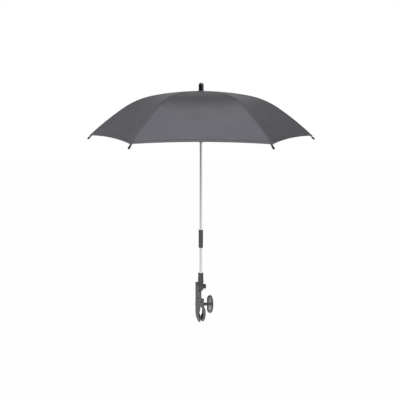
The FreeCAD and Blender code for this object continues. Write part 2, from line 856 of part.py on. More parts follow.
# Runner, its ring and its spring catch
def ring_of_slots(body, floor, edge, width, low, top):
    """Radial slots, one for each rib, cut through a flange from a floor radius outwards."""
    half = width / 2
    corners = [(floor, -half), (edge, -half), (edge, half), (floor, half)]
    cut = pocket(body, outline(sketch_on(body, "XY_Plane", top), corners), top - low, "One side")
    around(body, cut, RIB_COUNT)


def make_runner():
    foot = RUNNER_FOOT_Z
    low = RUNNER_Z - S.runner_flange_below
    top = RUNNER_Z + S.runner_flange_above
    corners = [
        (POLE_BORE, foot),
        (S.runner_grip_radius, foot),
        (S.runner_grip_radius, foot + S.runner_grip_height),
        (S.runner_radius, foot + 2 * S.runner_grip_height),
        (S.runner_radius, low),
        (S.runner_flange_radius, low),
        (S.runner_flange_radius, top),
        (S.runner_radius, top),
        (S.runner_radius, top + S.runner_neck),
        (POLE_BORE, top + S.runner_neck),
    ]
    body = turned("runner", corners)
    wire = S.ring_wire_radius + S.running_gap
    spun(body, circle(sketch_on(body, "XZ_Plane"), S.runner_ring_radius, RUNNER_Z, wire), "Groove")
    width = S.stretcher_thickness + 2 * S.stretcher_side_gap
    edge = S.runner_flange_radius + S.cut_overrun
    ring_of_slots(body, HUB_SLOT_FLOOR, edge, width, low - S.cut_overrun, top + S.cut_overrun)
    sizes = {"Radius1": S.runner_ring_radius, "Radius2": S.ring_wire_radius}
    named(part_shape("Torus", "runner_ring", at(0, 0, RUNNER_Z), **sizes), "runner_ring")


def make_catch():
    body = new_body("runner_catch")
    top = RUNNER_FOOT_Z - S.face_gap
    nose = -(S.pole_radius + S.catch_nose)
    corners = [
        (nose, top),
        (nose, top - S.catch_ledge),
        (-S.pole_radius + S.face_gap, top - S.catch_length),
        (S.catch_inner, top - S.catch_length),
        (S.catch_inner, top),
    ]
    pad(body, outline(sketch_on(body, "YZ_Plane"), corners), S.catch_width)


# Crown: hub, ring, foot washer and finial
def make_crown():
    low = CROWN_Z - S.hub_below
    top = CROWN_Z + S.rib_eye_radius
    foot = low - S.hub_skirt
    corners = [
        (POLE_BORE, foot),
        (S.hub_skirt_radius, foot),
        (S.hub_skirt_radius, low),
        (S.hub_radius, low),
        (S.hub_radius, top),
        (S.stud_radius + S.running_gap, top),
        (S.stud_radius + S.running_gap, top - S.hub_cap),
        (POLE_BORE, top - S.hub_cap),
    ]
    body = turned("crown_hub", corners)
    wire = S.ring_wire_radius + S.running_gap
    spun(body, circle(sketch_on(body, "XZ_Plane"), S.crown_ring_radius, CROWN_Z, wire), "Groove")
    width = S.rib_width + 2 * S.rib_side_gap
    edge = S.hub_radius + S.cut_overrun
    ring_of_slots(body, HUB_SLOT_FLOOR, edge, width, low - S.cut_overrun, top + S.cut_overrun)
    sizes = {"Radius1": S.crown_ring_radius, "Radius2": S.ring_wire_radius}
    named(part_shape("Torus", "crown_ring", at(0, 0, CROWN_Z), **sizes), "crown_ring")
    seat = crown_cloth_top() + S.running_gap
    hole = S.stud_radius + S.running_gap
    washer_top = seat + S.foot_height
    washer = [
        (hole, seat),
        (S.foot_radius, seat),
        (S.finial_radius, washer_top),
        (hole, washer_top),
    ]
    turned("top_washer", washer)
    tip = washer_top + S.finial_length
    crown = dome_radius(S.finial_radius, S.finial_length - S.finial_straight)
    finial = [
        (0, washer_top - S.stud_length),
        (S.stud_radius, washer_top - S.stud_length),
        (S.stud_radius, washer_top),
        (S.finial_radius, washer_top),
        (S.finial_radius, washer_top + S.finial_straight, crown),
        (0, tip),
    ]
    turned("finial", finial)


# Ribs, their tips, stretchers and pins
def rib_arcs():
    """The three arcs of a rib's top line, as (start reach, start slope, radius, end slope) and centres."""
    reaches = [S.crown_ring_radius, S.rib_bend_start, S.rib_bend_end, S.rib_reach]
    slopes = [S.crown_angle, S.bend_start_angle, S.bend_end_angle, S.tip_angle]
    height = CROWN_Z + S.rib_eye_radius
    arcs = []
    for place in range(len(reaches) - 1):
        start, end = slopes[place], slopes[place + 1]
        radius = (reaches[place + 1] - reaches[place]) / (sine(end) - sine(start))
        centre_z = height - radius * cosine(start)
        centre_x = reaches[place] - radius * sine(start)
        arcs.append((centre_x, centre_z, radius, start, end))
        height = centre_z + radius * cosine(end)
    return arcs


def slope_at(reach, arc):
    """Slope of the top line, in degrees, where it is this far from the pole."""
    centre_x, _, radius, _, _ = arc
    return math.degrees(math.asin((float(reach) - float(centre_x)) / float(radius)))


def arc_at(reach):
    """The arc of the top line that holds this distance from the pole."""
    arcs = rib_arcs()
    if reach <= S.rib_bend_start:
        return arcs[0]
    return arcs[1] if reach <= S.rib_bend_end else arcs[2]


def under_top(reach, depth):
    """Point of the rib this far from the pole on its top line, then this far below it, square to it."""
    arc = arc_at(reach)
    centre_x, centre_z, radius, _, _ = arc
    slope = slope_at(reach, arc)
    return centre_x + (radius - depth) * sine(slope), centre_z + (radius - depth) * cosine(slope)


def on_arc(arc, slope, depth):
    """Point at a slope of one arc, at a depth under the top line."""
    centre_x, centre_z, radius, _, _ = arc
    return centre_x + (radius - depth) * sine(slope), centre_z + (radius - depth) * cosine(slope)


def strip_corners(top_depth, low_depth, start, end):
    """Outline of a bent strip between two depths under the top line, from one slope to another."""
    first, middle, last = rib_arcs()
    bends = [(first, start), (middle, middle[3]), (last, last[3])]
    top = [(*on_arc(arc, slope, top_depth), -(arc[2] - top_depth)) for arc, slope in bends]
    top.append(on_arc(last, end, top_depth))
    low = [(*on_arc(last, end, low_depth), last[2] - low_depth)]
    low.append((*on_arc(middle, middle[4], low_depth), middle[2] - low_depth))
    low.append((*on_arc(first, first[4], low_depth), first[2] - low_depth))
    low.append(on_arc(first, start, low_depth))
    return top + low


def around_pole(index):
    """Turns a piece made over +X to its own place round the pole."""
    return Placement(Vector(), Rotation(Vector(0, 0, 1), 360 / RIB_COUNT * index))


def rib_end_slope():
    """Slope at the rib's own end, which is inside its tip."""
    reach = S.rib_reach - S.tip_neck_length / 2 * cosine(S.tip_angle)
    return slope_at(reach, rib_arcs()[2])


def make_rib(index):
    body = new_body(f"rib_{index + 1}", around_pole(index))
    strip = strip_corners(0, S.rib_height, S.crown_angle, rib_end_slope())
    pad(body, outline(sketch_on(body, "XZ_Plane"), strip), S.rib_width)
    eye = circle(sketch_on(body, "XZ_Plane"), S.crown_ring_radius, CROWN_Z, S.rib_eye_radius)
    pad(body, eye, S.rib_width)
    wire = S.ring_wire_radius + S.rib_side_gap
    pocket(body, circle(sketch_on(body, "XZ_Plane"), S.crown_ring_radius, CROWN_Z, wire))
    start = slope_at(S.rib_channel_start, rib_arcs()[0])
    end = slope_at(CORNER_REACH - S.tip_neck_length, rib_arcs()[2])
    channel = strip_corners(S.rib_roof, S.rib_height + S.cut_overrun, start, end)
    pocket(body, outline(sketch_on(body, "XZ_Plane"), channel), S.rib_width - 2 * S.rib_wall)
    pin_x, pin_z = stretcher_pivot()
    pin = S.stretcher_pin_radius + S.running_gap
    pocket(body, circle(sketch_on(body, "XZ_Plane"), pin_x, pin_z, pin))


def stretcher_pivot():
    """Where a stretcher hangs on its rib, in the rib's own plane."""
    return under_top(S.stretcher_at, S.rib_roof + S.stretcher_eye_radius + S.rib_side_gap / 2)


def make_rib_tip(index):
    """Ball tip on a short neck that takes the end of the rib."""
    x, z = under_top(S.rib_reach, S.rib_height / 2)
    turn = Rotation(Vector(0, 1, 0), 90 + float(S.tip_angle))
    ball = S.tip_ball_radius
    neck = S.tip_neck_radius
    corners = [
        (0, -S.tip_neck_length),
        (neck, -S.tip_neck_length),
        (neck, -ball / 2),
        (ball, 0, ball),
        (0, ball),
    ]
    body = turned(f"rib_tip_{index + 1}", corners, around_pole(index).multiply(at(x, 0, z, turn)))
    wide = S.rib_width / 2 + S.running_gap
    tall = S.rib_height / 2 + 2 * S.running_gap
    hole = [(-tall, -wide), (tall, -wide), (tall, wide), (-tall, wide)]
    face = outline(sketch_on(body, "XY_Plane", -S.tip_neck_length), hole)
    pocket(body, face, S.tip_socket_depth, "One side", back=True)


def make_stretcher(index):
    """Flat bar from its eye in the rib's channel to an open hook over the runner's ring."""
    start_x, start_z = stretcher_pivot()
    end_x, end_z = S.runner_ring_radius, RUNNER_Z
    run_x = end_x - start_x
    run_z = end_z - start_z
    length = math.hypot(run_x, run_z)
    turn = Rotation(Vector(0, 1, 0), math.degrees(math.atan2(-run_z, run_x)))
    place = around_pole(index).multiply(at(start_x, 0, start_z, turn))
    body = new_body(f"stretcher_{index + 1}", place)
    half = S.stretcher_half_height
    tall = S.hook_half_height
    gap = S.ring_wire_radius + S.hook_gap
    corners = [
        (0, -half),
        (length - S.hook_length - tall, -half),
        (length - S.hook_length, -tall),
        (length - gap, -tall),
        (length - gap, gap),
        (length + gap, gap),
        (length + gap, -tall),
        (length + gap + S.hook_lip, -tall),
        (length + gap + S.hook_lip, tall),
        (length - S.hook_length, tall),
        (length - S.hook_length - tall, half),
        (0, half),
    ]
    pad(body, outline(sketch_on(body, "XZ_Plane"), corners), S.stretcher_thickness)
    pad(body, circle(sketch_on(body, "XZ_Plane"), 0, 0, S.stretcher_eye_radius), S.stretcher_thickness)
    pocket(body, circle(sketch_on(body, "XZ_Plane"), 0, 0, S.stretcher_pin_radius + S.running_gap))


def make_stretcher_pin(index):
    x, z = stretcher_pivot()
    half = S.rib_width / 2
    end = half + S.pin_head_height
    corners = [
        (0, -end),
        (S.pin_head_radius, -end),
        (S.pin_head_radius, -half),
        (S.stretcher_pin_radius, -half),
        (S.stretcher_pin_radius, half),
        (S.pin_head_radius, half),
        (S.pin_head_radius, end),
        (0, end),
    ]
    place = around_pole(index).multiply(at(x, 0, z, ALONG_Y))
    turned(f"stretcher_pin_{index + 1}", corners, place)


# Canopy cloth
def crown_cloth_top():
    """Height of the cloth's outer face on the line of the pole."""
    centre_x, centre_z, radius, _, _ = rib_arcs()[0]
    outer = radius + S.cloth_lift + S.cloth_thickness
    return centre_z + outer * cosine(math.degrees(math.asin(float(-centre_x / outer))))


def cloth_line(lift):
    """Points of the cloth's line over a rib at this lift, as (reach, height): ends, joins and middles."""
    slopes = []
    arcs = rib_arcs()
    corner = slope_at(CORNER_REACH, arcs[2])
    crown = slope_at(0, arcs[0])
    ends = [(crown, arcs[0][4]), (arcs[1][3], arcs[1][4]), (arcs[2][3], corner)]
    for arc, (start, end) in zip(arcs, ends):
        start, end = float(start), float(end)
        slopes.append([(arc, slope) for slope in (start, (start + end) / 2, end)])
    return [[on_arc(arc, slope, -lift) for arc, slope in run] for run in slopes]


def make_panel(index):
    """Cloth on either side of a rib out to the middle of the gores: flat across, bent as the rib is."""
    label = f"canopy_panel_{index + 1}"
    half_turn = 180 / RIB_COUNT
    shrink = math.cos(math.radians(half_turn))
    edges = []
    inner, outer = cloth_line(S.cloth_lift), cloth_line(S.cloth_lift + S.cloth_thickness)
    for run in inner + outer:
        points = [Vector(float(reach) * shrink, 0, float(height)) for reach, height in run]
        edges.append(Part.Arc(*points).toShape())
    for end in (0, -1):
        run = 0 if end == 0 else 2
        spots = [line[run][end] for line in (inner, outer)]
        points = [Vector(float(reach) * shrink, 0, float(height)) for reach, height in spots]
        edges.append(Part.LineSegment(*points).toShape())
    strip = doc.addObject("Part::Feature", f"{label}_strip")
    strip.Shape = Part.Face(Part.Wire(Part.__sortEdges__(edges)))
    seam = Rotation(Vector(0, 0, 1), half_turn)
    inward = seam.multVec(Vector(0, -1, 0))
    strip.Placement = Placement(inward * float(S.panel_gap / 2), seam)
    slab = doc.addObject("Part::Extrusion", f"{label}_slab")
    slab.Base = strip
    slab.DirMode = "Custom"
    slab.Dir = inward
    slab.Solid = True
    bind(slab, "LengthFwd", CORNER_REACH)
    keep_sizes = {"Length": 2 * CORNER_REACH, "Width": CORNER_REACH, "Height": 2 * CORNER_REACH}
    keep_place = at(-CORNER_REACH, 0, CROWN_Z - CORNER_REACH)
    keep = part_shape("Box", f"{label}_keep", keep_place, **keep_sizes)
    half = joined("Common", f"{label}_half", slab, keep)
    span = CORNER_REACH * math.sin(math.radians(half_turn))
    hem_radius = (span * span + S.hem_scallop * S.hem_scallop) / (2 * S.hem_scallop)
    hem_reach = CORNER_REACH * shrink - S.hem_scallop + hem_radius
    low = CROWN_Z - CORNER_REACH
    centre = seam.multVec(Vector(float(hem_reach), 0, 0))
    sizes = {"Radius": hem_radius, "Height": 2 * CORNER_REACH}
    scallop = part_shape("Cylinder", f"{label}_scallop", at(centre.x, centre.y, low), **sizes)
    hemmed = joined("Cut", f"{label}_hemmed", half, scallop)
    sizes = {"Radius": S.crown_hole_radius, "Height": 2 * CORNER_REACH}
    hole = part_shape("Cylinder", f"{label}_hole", at(0, 0, low), **sizes)
    holed = joined("Cut", f"{label}_holed", hemmed, hole)
    twin = doc.addObject("Part::Mirroring", f"{label}_twin")
    twin.Source = holed
    twin.Normal = Vector(0, 1, 0)
    panel = named(joined("Fuse", f"{label}_whole", holed, twin), label)
    panel.Refine = True
    panel.Placement = around_pole(index)


make_pads()
make_arm()
make_jaw()
make_clamp_hardware()
make_hinge()
make_socket()
make_poles()
make_knuckle()
make_sleeve()
make_runner()
make_catch()
make_crown()
for number in range(RIB_COUNT):
    make_rib(number)
    make_rib_tip(number)
    make_stretcher(number)
    make_stretcher_pin(number)
    make_panel(number)
doc.recompute()

for item in doc.Objects:
    if {"Invalid", "Error"} & set(item.State):
        raise RuntimeError(f"{item.Label} failed: {item.State}")
for cut in cuts:
    if not cut.Shape.Volume < cut.BaseFeature.Shape.Volume:
        raise RuntimeError(f"{cut.Label} of {cut.getParentGeoFeatureGroup().Label} cuts nothing")
for piece in pieces:
    if piece.Shape.isNull() or not piece.Shape.isValid() or len(piece.Shape.Solids) != 1:
        raise RuntimeError(f"{piece.Label} is not one valid solid")

os.makedirs("parts", exist_ok=True)
for piece in pieces:
    piece.Shape.exportStep(f"parts/{piece.Label}.step")

pivot_x, pivot_z = stretcher_pivot()
print(f"{len(pieces)} pieces")
print(f"stretcher pivot at reach {float(pivot_x):.3f}, height {float(pivot_z):.3f}")
print(f"runner ring at height {float(RUNNER_Z):.3f}, crown ring at height {float(CROWN_Z):.3f}")
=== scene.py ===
# %% [markdown]
# # A pram parasol, dressed around its frame
#
# The rigid pieces (clamp, hinge, tubes, runner, ribs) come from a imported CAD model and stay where
# they are. This lesson adds what CAD leaves out: the sewn cloth, the finishes, the light and the
# camera. Everything is in metres, with +Z up the pole and the camera looking along +Y.

# %% Load the frame
import json
import math

import bmesh
import bpy
from mathutils import Matrix, Vector

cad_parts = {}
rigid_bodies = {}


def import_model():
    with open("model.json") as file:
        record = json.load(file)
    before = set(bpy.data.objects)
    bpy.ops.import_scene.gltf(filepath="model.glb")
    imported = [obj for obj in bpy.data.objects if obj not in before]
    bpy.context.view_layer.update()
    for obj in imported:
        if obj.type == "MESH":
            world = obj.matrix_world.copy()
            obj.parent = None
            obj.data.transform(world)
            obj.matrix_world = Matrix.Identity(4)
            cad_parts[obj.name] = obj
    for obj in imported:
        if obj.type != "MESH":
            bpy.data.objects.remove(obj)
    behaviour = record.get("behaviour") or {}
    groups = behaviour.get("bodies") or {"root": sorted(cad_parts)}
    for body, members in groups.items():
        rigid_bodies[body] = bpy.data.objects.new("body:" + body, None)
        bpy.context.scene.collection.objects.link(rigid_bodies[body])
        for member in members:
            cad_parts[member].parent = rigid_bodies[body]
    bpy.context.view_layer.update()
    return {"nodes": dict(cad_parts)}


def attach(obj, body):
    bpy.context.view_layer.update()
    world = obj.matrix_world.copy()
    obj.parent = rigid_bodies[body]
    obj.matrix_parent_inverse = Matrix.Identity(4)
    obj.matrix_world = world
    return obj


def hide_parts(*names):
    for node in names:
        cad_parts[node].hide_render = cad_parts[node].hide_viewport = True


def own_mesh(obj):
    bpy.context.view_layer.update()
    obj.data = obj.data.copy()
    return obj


MM = 0.001

for leftover in list(bpy.data.objects):
    bpy.data.objects.remove(leftover)
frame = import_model()
nodes = frame["nodes"]

# %% [markdown]
# ## The camera
#
# The picture was taken from a little below the crown, with the lens pointing slightly down. A camera
# could be aimed by eye, but four rib tips at known places fix it: they give a distance of 1.31 m, a
# height of 0.67 m, a pitch of 12.5 degrees and a view 400 pixels wide at a focal length of 431 pixels.
# A new camera looks straight down, so it is turned up to level first, and then down by the pitch.

# %% Camera
SENSOR_MM = 36.0
FOCAL_PIXELS = 431.2
FRAME_PIXELS = 400
CAMERA_AT = Vector((-0.0028, -1.3087, 0.6725))
LEVEL = math.radians(90)
PITCH = math.radians(12.48)
ROLL = math.radians(0.1)
FARTHEST_SEEN = 50


def add_object(name, data):
    """A new object in the scene, from a mesh, a curve, a lamp or a camera."""
    made = bpy.data.objects.new(name, data)
    bpy.context.scene.collection.objects.link(made)
    return made


camera = add_object("camera", bpy.data.cameras.new("camera"))
camera.data.sensor_width = SENSOR_MM
camera.data.lens = SENSOR_MM * FOCAL_PIXELS / FRAME_PIXELS
camera.data.clip_end = FARTHEST_SEEN
aim = Matrix.Rotation(LEVEL - PITCH, 4, "X") @ Matrix.Rotation(ROLL, 4, "Z")
camera.matrix_world = Matrix.Translation(CAMERA_AT) @ aim
bpy.context.scene.camera = camera
bpy.context.scene.view_settings.view_transform = "Standard"
print("lens", round(camera.data.lens, 2), "mm")

# %% [markdown]
# ## Shader maths as Python
#
# A finish is a small network of nodes. Wiring each node by hand hides the idea, so a `Wire` stands
# for one output socket, and sums, products and comparisons of wires add their Math nodes. A `Network`
# is one node tree with a single method that adds any other node, and a `Finish` is the network of a
# material.

# %% Wire
class Wire:
    """One output socket of a network. Arithmetic on it adds Math nodes."""

    def __init__(self, network, socket):
        self.network = network
        self.socket = socket

    def math(self, operation, *others):
        return self.network.math(operation, self, *others)

    def __add__(self, other):
        return self.math("ADD", other)

    def __sub__(self, other):
        return self.math("SUBTRACT", other)

    def __rsub__(self, other):
        return self.network.math("SUBTRACT", other, self)

    def __mul__(self, other):
        return self.math("MULTIPLY", other)

    def __truediv__(self, other):
        return self.math("DIVIDE", other)

    def __mod__(self, other):
        return self.math("FLOORED_MODULO", other)

    def __lt__(self, other):
        return self.math("LESS_THAN", other)

    def __abs__(self):
        return self.math("ABSOLUTE")

    __radd__ = __add__
    __rmul__ = __mul__


print("wires take + - * / % < and abs")

# %% Network
WHITE = (1.0, 1.0, 1.0, 1.0)


def set_stops(ramp, stops):
    """Sets a ramp's stops from (position, colour) pairs."""
    while len(ramp.elements) < len(stops):
        ramp.elements.new(1.0)
    for element, (position, colour) in zip(ramp.elements, stops):
        element.position = position
        element.color = colour


class Network:
    """A node tree in the making."""

    def __init__(self, tree):
        self.tree = tree

    def node(self, kind, settings=None, inputs=None, output=0):
        """Adds a node: its type, its settings, then the values or wires of its sockets."""
        made = self.tree.nodes.new(f"ShaderNode{kind}")
        for name, value in (settings or {}).items():
            if name == "stops":
                set_stops(made.color_ramp, value)
            else:
                setattr(made, name, value)
        for socket, value in (inputs or {}).items():
            self.feed(made.inputs[socket], value)
        return Wire(self, made.outputs[output])

    def feed(self, socket, value):
        if isinstance(value, Wire):
            self.tree.links.new(value.socket, socket)
        else:
            socket.default_value = value

    def math(self, operation, *values):
        return self.node("Math", {"operation": operation}, dict(enumerate(values)))

    def white_when_seen(self, lit, share, end):
        """Mixes a white glow into a shader for camera, glossy and transmission rays only."""
        seen = self.node("LightPath", output="Is Camera Ray")
        for ray in ("Is Glossy Ray", "Is Transmission Ray"):
            seen = seen.math("MAXIMUM", self.node("LightPath", output=ray))
        glow = self.node("Emission", {}, {"Color": WHITE, "Strength": 1.0})
        self.feed(end, self.node("MixShader", {}, {0: seen * share, 1: lit, 2: glow}))


print("a network adds any node by its type, settings and sockets")


# %% Finish
class Finish(Network):
    """The network of one material, with its main shader."""

    def __init__(self, name, constants):
        self.material = bpy.data.materials.new(name)
        self.material.use_nodes = True
        super().__init__(self.material.node_tree)
        self.shader = self.tree.nodes["Principled BSDF"]
        self.end = self.tree.nodes["Material Output"].inputs["Surface"]
        self.paint(constants)

    def paint(self, sockets):
        for name, value in sockets.items():
            self.feed(self.shader.inputs[name], value)

    def mix(self, share, first, second):
        """A colour that goes from first to second as share goes from 0 to 1."""
        return self.node("Mix", {"data_type": "RGBA"}, {0: share, 6: first, 7: second}, output=2)

    def emboss(self, height, depth, strength):
        """Feeds a height map to the shader's normal, depth metres from its low to its high."""
        inputs = {"Height": height, "Distance": depth, "Strength": strength}
        self.paint({"Normal": self.node("Bump", {}, inputs)})

    def place(self):
        """Position on the object at rest, in metres."""
        return self.node("TexCoord", output="Object")

    def part(self, vector, axis):
        """One of the three numbers of a vector."""
        return self.node("SeparateXYZ", {}, {0: vector}, output=axis)

    def noise(self, place, size, detail=2.0, roughness=0.5):
        """Soft blotches about this many metres across, from 0 to 1."""
        inputs = {"Vector": place, "Scale": 1 / size, "Detail": detail, "Roughness": roughness}
        return self.node("TexNoise", {}, inputs)

    def stretched(self, place, factors):
        """The same place with its three axes scaled, so that a noise becomes streaks."""
        return self.node("VectorMath", {"operation": "MULTIPLY"}, {0: place, 1: factors})


def shade(red, green, blue):
    """A colour written in the usual 0 to 255 numbers, as the linear values that shaders take."""
    def linear(number):
        part = number / 255
        return part / 12.92 if part <= 0.04045 else ((part + 0.055) / 1.055) ** 2.4
    return (linear(red), linear(green), linear(blue), 1.0)


print("white is", shade(255, 255, 255), "middle grey is", round(shade(128, 128, 128)[0], 3))

# %% [markdown]
# ## Studio
#
# The picture is a cut-out on white. A sweep of white paper lit until it burns out would also flood
# the object with light. Instead the world is plain white only for the camera and for reflections,
# and much dimmer as a light. The floor is a real one at the height that a pram's wheels stand on,
# a metre below the handle bar, so the canopy's shadow falls there and not behind the clamp.

# %% World and floor
WORLD_LIGHT = 0.13
WORLD_WHITE = 1.0
FLOOR_Z = -1.0
FLOOR_HALF = 12.0
FLOOR_WHITE = 0.985
SQUARE = ((-1, -1), (1, -1), (1, 1), (-1, 1))


def flat_stage(name, corners, finish):
    """A flat piece of the studio, which isn't part of the object."""
    mesh = bpy.data.meshes.new(name)
    mesh.from_pydata(corners, [], [(0, 1, 2, 3)])
    mesh.materials.append(finish.material)
    made = add_object(name, mesh)
    return made


world = bpy.data.worlds.new("studio")
bpy.context.scene.world = world
world.use_nodes = True
sky = Network(world.node_tree)
sky_glow = sky.tree.nodes["Background"]
sky.feed(sky_glow.inputs["Color"], WHITE)
sky.feed(sky_glow.inputs["Strength"], WORLD_LIGHT)
sky_end = sky.tree.nodes["World Output"].inputs["Surface"]
sky.white_when_seen(Wire(sky, sky_glow.outputs[0]), WORLD_WHITE, sky_end)

paper = Finish("floor_paper", {"Roughness": 0.9, "Base Color": shade(110, 110, 110)})
paper.white_when_seen(Wire(paper, paper.shader.outputs[0]), FLOOR_WHITE, paper.end)
flat_stage("floor", [(x * FLOOR_HALF, y * FLOOR_HALF, FLOOR_Z) for x, y in SQUARE], paper)
print("floor at", FLOOR_Z, "world light", WORLD_LIGHT)

# %% [markdown]
# ## Lamps
#
# The front gore is the lightest, the flat crown a shade darker and the two gores beside it darker
# still. A lamp overhead would light them all alike, so the main light is low: a large softbox behind
# the camera, a little to the left and below the canopy. With that alone the back would be black, so a
# second box, almost as strong, stands behind, where it can't reach the front gores. A small box
# overhead lights nothing but shiny surfaces, and puts the glints on the finial.

# %% Softboxes
POLE_MIDDLE, CROWN = (0, 0, 0.45), (0, 0, 0.7)
LARGE_BOX, SMALL_BOX = 1.8, 0.4


def softbox(name, place, target, size, watts):
    lamp = bpy.data.lights.new(name, "AREA")
    lamp.shape = "SQUARE"
    lamp.size = size
    lamp.energy = watts
    made = add_object(name, lamp)
    made.location = place
    made.rotation_euler = (Vector(target) - Vector(place)).to_track_quat("-Z", "Y").to_euler()
    return made


front_box = softbox("front_box", (-0.3, -2.6, 0.25), POLE_MIDDLE, LARGE_BOX, watts=76)
back_box = softbox("back_box", (0.4, 2.6, 1.0), POLE_MIDDLE, LARGE_BOX, watts=75)
for box in (front_box, back_box):
    box.visible_glossy = False
top_box = softbox("top_box", (0.05, 0.1, 2.4), CROWN, SMALL_BOX, watts=30)
top_box.visible_diffuse = False
print("softboxes:", front_box.name, back_box.name, top_box.name)

# %% [markdown]
# The pole is darkest under the canopy and grows lighter towards the clamp, though both its tubes are
# bare metal. A tube shows what stands in front of it: near the top the unlit half of the studio,
# further down the white floor. A card with that shading slants from the left of the object to behind
# the camera. It is hidden from the camera and gives no light, so only shiny surfaces show it.

# %% Dark half of the studio
BLACK = (0.0, 0.0, 0.0, 1.0)
CARD_LEFT, CARD_RIGHT, CARD_TOP = (-4.5, 1.2), (1.5, -3.2), 2.8
CARD_FADE_LOW, CARD_FADE_SPAN = -0.6, 1.2
CARD_TONES = ((0.08, 0.95), (0.42, 0.66), (0.78, 0.2), (0.95, 0.08))


def dark_room():
    finish = Finish("dark_room", {"Base Color": BLACK, "Roughness": 1.0, "Emission Strength": 1.0})
    height = finish.part(finish.place(), "Z")
    stops = [(place, (tone, tone, tone, 1.0)) for place, tone in CARD_TONES]
    up_the_card = (height - CARD_FADE_LOW) / CARD_FADE_SPAN
    fade = finish.node("ValToRGB", {"stops": stops}, {"Fac": up_the_card})
    finish.paint({"Emission Color": fade})
    sides, heights = (CARD_LEFT, CARD_RIGHT), (FLOOR_Z, CARD_TOP)
    corners = [(*sides[x > 0], heights[z > 0]) for x, z in SQUARE]
    card = flat_stage("dark_room", corners, finish)
    card.visible_camera = False
    card.visible_diffuse = False
    card.visible_shadow = False
    card.visible_transmission = False


dark_room()
print("card from", CARD_LEFT, "to", CARD_RIGHT)

# %% [markdown]
# ## Cloth finish
#
# The canopy is thin woven polyester. Photographed cloth would need image files, so the weave is two
# crossing sine waves on a map that the mesh carries: across the map is the distance from the rib
# seam, up the map is the distance from the hem. The same two numbers place the seam's stitches, the
# hem's stitches and the darker lines where the layers end.

# %% Stitches and edges of the cloth
SEAM_HALF = 2.7 * MM
HEM_WIDTH = 8.0 * MM
STITCH_LENGTH = 2.8 * MM
STITCH_SHARE = 0.78
STITCH_HALF = 0.22 * MM
SEAM_STITCH_AT, HEM_STITCH_AT = SEAM_HALF * 0.7, HEM_WIDTH * 0.8
SEAM_EDGE_AT, SEAM_EDGE_HALF = SEAM_HALF * 1.12, 0.6 * MM
HEM_EDGE_AT, HEM_EDGE_HALF = HEM_WIDTH * 1.03, 0.3 * MM
RAW_EDGE = 0.9 * MM


def line_at(wire, place, half):
    """1 within half of a place, 0 elsewhere."""
    return abs(wire - place) < half


def dashes(wire):
    """1 on the stitches of a row of them, 0 between."""
    return (wire % STITCH_LENGTH) < STITCH_LENGTH * STITCH_SHARE


def sewn_lines(across, up):
    """1 on the stitches, and 1 on the lines where a layer of cloth ends."""
    from_seam = abs(across)
    seam_stitch = line_at(from_seam, SEAM_STITCH_AT, STITCH_HALF) * dashes(up)
    hem_stitch = line_at(up, HEM_STITCH_AT, STITCH_HALF) * dashes(across)
    seam_edge = line_at(from_seam, SEAM_EDGE_AT, SEAM_EDGE_HALF)
    hem_edge = line_at(up, HEM_EDGE_AT, HEM_EDGE_HALF)
    edges = seam_edge.math("MAXIMUM", hem_edge).math("MAXIMUM", up < RAW_EDGE)
    return seam_stitch.math("MAXIMUM", hem_stitch), edges


print("stitches", STITCH_LENGTH, "on seams", 2 * SEAM_HALF, "and hems", HEM_WIDTH, "wide")

# %% [markdown]
# The colour is laid on in four coats: broad tones and the thicker threads of the weave, the shade
# between the threads, the dark edges, and the stitches on top. The cloth hardly shines, because a
# glossy one would mirror the white studio and lose the difference between its gores.

# %% Cloth
THREAD_PITCH = 0.55 * MM
CLOTH_SHADE, CLOTH_DARK = shade(124, 123, 131), shade(110, 109, 116)
CLOTH_LINE, STITCH_SHADE = shade(44, 43, 46), shade(132, 131, 138)
CLOTH_SHINE = 0.03
CLOTH_ROUGH, CLOTH_ROUGH_SPREAD = 0.4, 0.12
TONE_SIZE, TONE_DETAIL, TONE_SHARE = 60 * MM, 3.0, 0.5
SLUB_SIZE, SLUB_DETAIL, SLUB_SHARE = 0.8 * MM, 1.0, 0.25
SLUB_STRETCH = (1.0, 0.06, 1.0)
WEAVE_SHARE, EDGE_SHARE, STITCH_COVER = 0.12, 0.75, 0.8
WEAVE_HEIGHT, STITCH_HEIGHT, SLUB_HEIGHT = 0.5, 1.6, 0.3
CLOTH_RELIEF, CLOTH_BUMP = 0.12 * MM, 0.6


def make_cloth():
    finish = Finish("canopy_cloth", {"Specular IOR Level": CLOTH_SHINE})
    spot = finish.node("UVMap", {"uv_map": "cloth_map"})
    across = finish.part(spot, "X")
    up = finish.part(spot, "Y")
    turn = 2 * math.pi / THREAD_PITCH
    weave = (across * turn).math("SINE") * (up * turn).math("SINE") * 0.5 + 0.5
    stitch, edges = sewn_lines(across, up)
    tone = finish.noise(spot, TONE_SIZE, TONE_DETAIL)
    slub = finish.noise(finish.stretched(spot, SLUB_STRETCH), SLUB_SIZE, SLUB_DETAIL)
    base = finish.mix(tone * TONE_SHARE + slub * SLUB_SHARE, CLOTH_SHADE, CLOTH_DARK)
    base = finish.mix((1 - weave) * WEAVE_SHARE, base, CLOTH_LINE)
    base = finish.mix(edges * EDGE_SHARE, base, CLOTH_LINE)
    base = finish.mix(stitch * STITCH_COVER, base, STITCH_SHADE)
    finish.paint({"Base Color": base, "Roughness": CLOTH_ROUGH + tone * CLOTH_ROUGH_SPREAD})
    height = weave * WEAVE_HEIGHT + stitch * STITCH_HEIGHT + slub * SLUB_HEIGHT
    finish.emboss(height, CLOTH_RELIEF, CLOTH_BUMP)
    return finish.material


cloth = make_cloth()
print("cloth weave", THREAD_PITCH)

